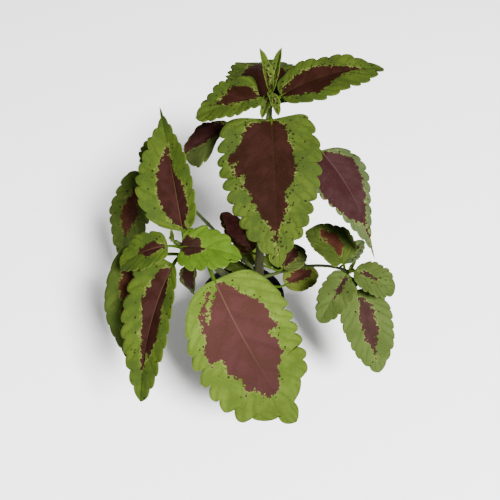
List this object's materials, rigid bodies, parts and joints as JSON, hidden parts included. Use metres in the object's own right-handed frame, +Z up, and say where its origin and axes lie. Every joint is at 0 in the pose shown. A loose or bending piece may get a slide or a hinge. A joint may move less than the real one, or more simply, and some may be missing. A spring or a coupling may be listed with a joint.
{
  "type": "potted coleus",
  "caption": "Leafy coleus with scalloped green and purple leaves on square stems, growing in a round black nursery pot.",
  "frame": {"origin": "centre of the pot's flat underside", "axes": "+Z up along the pot's axis, -Y towards the side that the largest front leaves face, +X to the right seen from there"},
  "size_m": [0.2503, 0.3007, 0.3023],
  "materials": {
    "pot_plastic": "matte",
    "soil": "matte",
    "stem": "satin",
    "leaf": "satin"
  },
  "bodies": {
    "root": {"pot": "pot_plastic", "soil": "soil", "stem_main": "stem", "stem_left": "stem", "stem_right": "stem", "stem_back": "stem", "leaf_crown_front": "leaf", "leaf_crown_back": "leaf", "leaf_crown_left": "leaf", "leaf_crown_right": "leaf", "leaf_low_left": "leaf", "leaf_low_right": "leaf", "leaf_low_back": "leaf", "leaf_low_front": "leaf", "leaf_inner_back": "leaf", "leaf_inner_left": "leaf", "leaf_inner_small": "leaf", "leaf_inner_rear": "leaf", "leaf_inner_low": "leaf", "leaf_inner_front": "leaf", "leaf_inner_right": "leaf", "leaf_left_rear": "leaf", "leaf_left_front": "leaf", "leaf_left_inner": "leaf", "leaf_left_outer": "leaf", "leaf_left_large": "leaf", "leaf_left_drooping": "leaf", "leaf_left_small": "leaf", "leaf_rear_left": "leaf", "leaf_rear_back": "leaf", "leaf_right_inner": "leaf", "leaf_right_rear": "leaf", "leaf_right_outer": "leaf", "leaf_right_lower": "leaf", "leaf_right_front": "leaf", "bud_main": "leaf", "bud_left": "leaf", "bud_right": "leaf", "bud_back": "leaf"}
  },
  "joints": []
}
